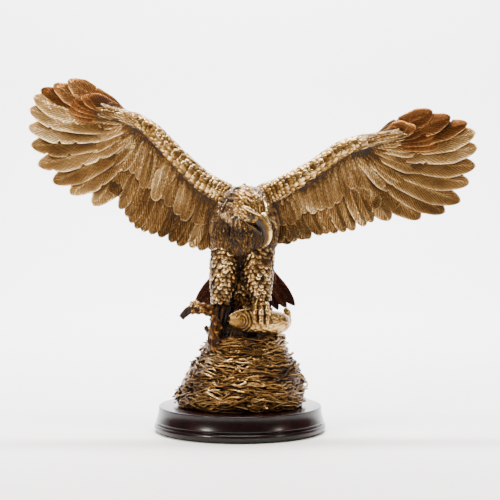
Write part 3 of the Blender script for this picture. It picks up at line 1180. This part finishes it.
def make_mound(seed):
    rng = np.random.default_rng(seed)
    casting, outer, top = Casting(), Casting(), Casting()
    rows, sides = 60, 120
    z = np.linspace(MOUND_FOOT + 0.1, PERCH[2] - 1.0, rows)[:, None]
    turn = np.linspace(0, 2 * math.pi, sides, endpoint=False)[None]
    points = on_mound(z, turn, -5.5)
    ends = [points[i].mean(0)[None, None].repeat(sides, 1) for i in (0, -1)]
    points = np.concatenate([ends[0], points, ends[1]])
    casting.add(points.reshape(-1, 3), grid_quads(rows + 2, sides, True), rub=0.0, deep=0.9)

    share = np.linspace(1, 0.02, 14)[:, None]
    radius = (HEAP_RADIUS - 4) * share + 0 * turn
    z = PERCH[2] - 2 + (HEAP_HEIGHT - 6) * (1 - share**2) ** 0.6 + 0 * turn
    heap = np.stack([PERCH[0] + MOUND_LEAN[1] + radius * np.cos(turn), HEAP_MIDDLE[1] + radius * np.sin(turn), z], -1)
    heap = np.concatenate([heap[:1] * [0, 0, 1] + [PERCH[0], HEAP_MIDDLE[1], 0], heap, heap[-1:].mean(1, keepdims=True) + 0 * heap[:1]])
    casting.add(heap.reshape(-1, 3), grid_quads(16, sides, True), rub=0.0, deep=1.0)

    # A stump of bark hides the steel rod of the left leg where it enters the nest.
    rod = [onward(*LEGS["left"], h) for h in (-6, 0, 6, 12)]
    points, quads, out = Limb(rod, [7, 6.5, 6, 4.5], [7, 6.5, 6, 4.5]).skin(40, 30, bark(0.8, 2.0))
    casting.add(points, quads, rub=0.3 + 0.3 * out, deep=0.4)

    s = np.linspace(-0.5, 0.5, 7)
    for i in range(TWIGS):
        height = MOUND_FOOT + 1.0 + (PERCH[2] - MOUND_FOOT) * rng.uniform() ** 1.1
        span = rng.uniform(16, 58)
        thick = rng.uniform(0.65, 1.5)
        steep = 0.12 if height > MOUND_FOOT + 30 else 0.3
        layer = rng.uniform(-4.0, 1.2)
        around = rng.uniform(0, 2 * math.pi) + s * span / mound_radius(height)
        z = height + s * span * rng.normal(0, steep) + rng.normal(0, 0.9, 7)
        z = np.clip(z, MOUND_FOOT + thick + 0.3, PERCH[2] + 4.0)
        stray = rng.choice([0, 0, 0, 0, 0, 2.0, 5.0]) * np.clip(s * 2, 0, 1) ** 2
        path = on_mound(z, around, layer + rng.normal(0, 0.8, 7) + stray)
        knots = thick * (1 + 0.25 * rng.normal(0, 1, 7)).clip(0.6, 1.5)
        twist = rng.uniform(0, 6)
        points, quads, out = Limb(path, knots, knots * 0.9, facing=(0, 0, 1)).skin(
            15, 6, lambda t, a: 0.2 * thick * np.sin(a * 2 + t * 9 + twist))
        (outer if i % 2 else casting).add(
            points, quads, rub=np.clip(0.6 + out, 0, 1), deep=np.clip(-0.12 * layer, 0, 0.4), tone=rng.uniform(),
        )

    for i in range(TOP_TWIGS):
        where, heading = rng.uniform(0, 2 * math.pi), rng.uniform(0, math.pi)
        reach = mound_radius(PERCH[2]) - 1
        if i % 2:
            middle = HEAP_MIDDLE + rng.uniform(0.2, 1.0) * HEAP_RADIUS * np.array([math.cos(where), math.sin(where)])
            heading = where + math.pi / 2 + rng.normal(0, 0.3)
        else:
            middle = rng.uniform(0, 1.0) * reach * np.array([math.cos(where), math.sin(where)])
        line = np.linspace(-0.5, 0.5, 5)[:, None] * rng.uniform(14, 40)
        flat = middle + line * [math.cos(heading), math.sin(heading)] + rng.normal(0, 0.8, (5, 2))
        flat = flat / np.maximum(1, np.linalg.norm(flat, axis=1, keepdims=True) / reach)
        heap = HEAP_HEIGHT * np.clip(1 - ((flat - HEAP_MIDDLE) ** 2).sum(1) / HEAP_RADIUS**2, 0, 1) ** 0.6
        z = PERCH[2] - 0.5 + heap + rng.uniform(-1, 2.0) + rng.normal(0, 0.5, 5)
        path = np.column_stack([flat[:, 0] + PERCH[0] + MOUND_LEAN[1], flat[:, 1], z])
        r = rng.uniform(0.7, 1.5)
        points, quads, _ = Limb(path, [r, r, r * 0.7], [r, r, r * 0.7], facing=(0, 0, 1)).skin(12, 6)
        top.add(points, quads, rub=0.45, deep=0.1, tone=rng.uniform())
    outer.make("nest_outer_twigs", twig_bronze, "bronze")
    top.make("nest_top_twigs", twig_bronze, "bronze")
    return casting.make("nest_mound_twigs", twig_bronze, "bronze", replaces=["nest_mound"])


make_mound(111)

# %% [markdown]
# ## Plinth and felt
# The plinth is beech or similar, turned on a lathe, stained to look like mahogany and
# lacquered. Its outline is turned here the same way: a rounded ring at the foot, a dark
# groove, a hollow flare and a softened top edge. The grain runs straight across the top,
# because the blank was cut from a plank.

# %% Lacquered mahogany-stained wood
GRAIN_MM = 1.6  # spacing of the fine dark pore lines across the plank


def lacquered_mahogany():
    material, tree, shader = finish("mahogany_stained_lacquered_wood")
    place = node(tree, "TexCoord").outputs["Object"]
    plank = node(tree, "Mapping", values={"Scale": (0.06, 1.0, 1.0)}, links={"Vector": place})
    figure = node(tree, "TexNoise", values={"Scale": 60.0, "Detail": 4.0}, links={"Vector": plank.outputs[0]})
    pores = node(tree, "TexNoise", values={"Scale": 1000 / GRAIN_MM, "Detail": 2.0}, links={"Vector": plank.outputs[0]})
    mixed = math_node(tree, "ADD", math_node(tree, "MULTIPLY", figure.outputs["Fac"], 0.65),
                      math_node(tree, "MULTIPLY", pores.outputs["Fac"], 0.35))
    colour = ramp(tree, mixed, [(0.3, "#070202"), (0.5, "#120404"), (0.68, "#240907"), (0.85, "#38120D")])
    tree.links.new(colour, shader.inputs["Base Color"])
    ripple = node(tree, "TexNoise", values={"Scale": 35.0, "Detail": 1.0}, links={"Vector": place})
    height = math_node(tree, "ADD", math_node(tree, "MULTIPLY", pores.outputs["Fac"], 0.15), ripple.outputs["Fac"])
    bump = node(tree, "Bump", values={"Strength": 0.25, "Distance": 0.0003}, links={"Height": height})
    tree.links.new(bump.outputs[0], shader.inputs["Normal"])
    shader.inputs["Roughness"].default_value = 0.24
    shader.inputs["IOR"].default_value = 1.45
    shader.inputs["Specular IOR Level"].default_value = 0.28
    shader.inputs["Coat Weight"].default_value = 0.1
    shader.inputs["Coat Roughness"].default_value = 0.12
    return material


mahogany = lacquered_mahogany()


# %% Turned plinth
def turned_profile():
    low, high = box_mm("wooden_plinth")
    foot, top = low[2], high[2]
    outer = high[0]
    ring, groove, rim = 7.5, 2.2, outer - 5.0
    points = [(0.0, foot), (outer - 4.0, foot)]
    for i in range(13):
        turn = -math.pi / 2 + math.pi * i / 12
        points.append((outer - 2.2 * (1 - math.cos(turn)), foot + ring / 2 + ring / 2 * math.sin(turn)))
    points += [(rim + 0.4, foot + ring + 0.1), (rim - 0.2, foot + ring + groove * 0.5), (rim + 2.5, foot + ring + groove)]
    for i in range(15):
        t = i / 14
        z = foot + ring + groove + 0.6 + t * (top - 1.6 - (foot + ring + groove + 0.6))
        points.append((rim + 2.9 * (1 - t) ** 2 + 0.0 * t, z))
    for i in range(7):
        turn = math.pi / 2 * i / 6
        points.append((rim - 1.4 + 1.4 * math.cos(turn), top - 1.4 + 1.4 * math.sin(turn)))
    points.append((0.0, top))
    return np.array(points)


def turn_on_lathe(profile, sides):
    turn = np.linspace(0, 2 * math.pi, sides, endpoint=False)
    r, z = profile[:, :1], profile[:, 1:]
    points = np.stack([r * np.cos(turn), r * np.sin(turn), z + 0 * turn], -1)
    return points.reshape(-1, 3), grid_quads(len(profile), sides, True)


plinth = Casting()
plinth.add(*turn_on_lathe(turned_profile(), 192))
plinth.make("plinth_turned", mahogany, "wood", replaces=["wooden_plinth"])

# %% [markdown]
# ## Felt, and the steel inside
# The felt disc and the steel fixings are right as the CAD model has them, so they only
# get a real finish: short matted wool, and zinc plate with its faint spangle.


# %% Felt and zinc
def pressed_felt():
    material, tree, shader = finish("pressed_wool_felt")
    place = node(tree, "TexCoord").outputs["Object"]
    wool = node(tree, "TexNoise", values={"Scale": 1400.0, "Detail": 4.0}, links={"Vector": place})
    colour = ramp(tree, wool.outputs["Fac"], [(0.35, "#16291F"), (0.65, "#2F4A3B")])
    tree.links.new(colour, shader.inputs["Base Color"])
    bump = node(tree, "Bump", values={"Strength": 0.6, "Distance": 0.0004}, links={"Height": wool.outputs["Fac"]})
    tree.links.new(bump.outputs[0], shader.inputs["Normal"])
    shader.inputs["Roughness"].default_value = 0.95
    shader.inputs["Sheen Weight"].default_value = 0.4
    return material


def steel(name, pale, dark):
    material, tree, shader = finish(name)
    place = node(tree, "TexCoord").outputs["Object"]
    spangle = node(tree, "TexVoronoi", values={"Scale": 500.0}, links={"Vector": place})
    colour = ramp(tree, spangle.outputs["Distance"], [(0.0, pale), (1.0, dark)])
    tree.links.new(colour, shader.inputs["Base Color"])
    rough = node(tree, "MapRange", values={3: 0.28, 4: 0.42}, links={0: spangle.outputs["Distance"]})
    tree.links.new(rough.outputs[0], shader.inputs["Roughness"])
    shader.inputs["Metallic"].default_value = 1.0
    return material


zinc = steel("zinc_plated_steel", "#B9BCC0", "#8D9196")
kept = {"felt_pad": pressed_felt()}
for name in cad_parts:
    if any(word in name for word in ("bolt", "washer", "nut", "rod", "pin", "screw")):
        kept[name] = zinc
kept["head_grub_screw"] = steel("patinated_steel", "#5A3E22", "#2A1A0C")
for name, material in kept.items():
    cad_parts[name].data.materials.clear()
    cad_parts[name].data.materials.append(material)
print("refinished:", sorted(kept))
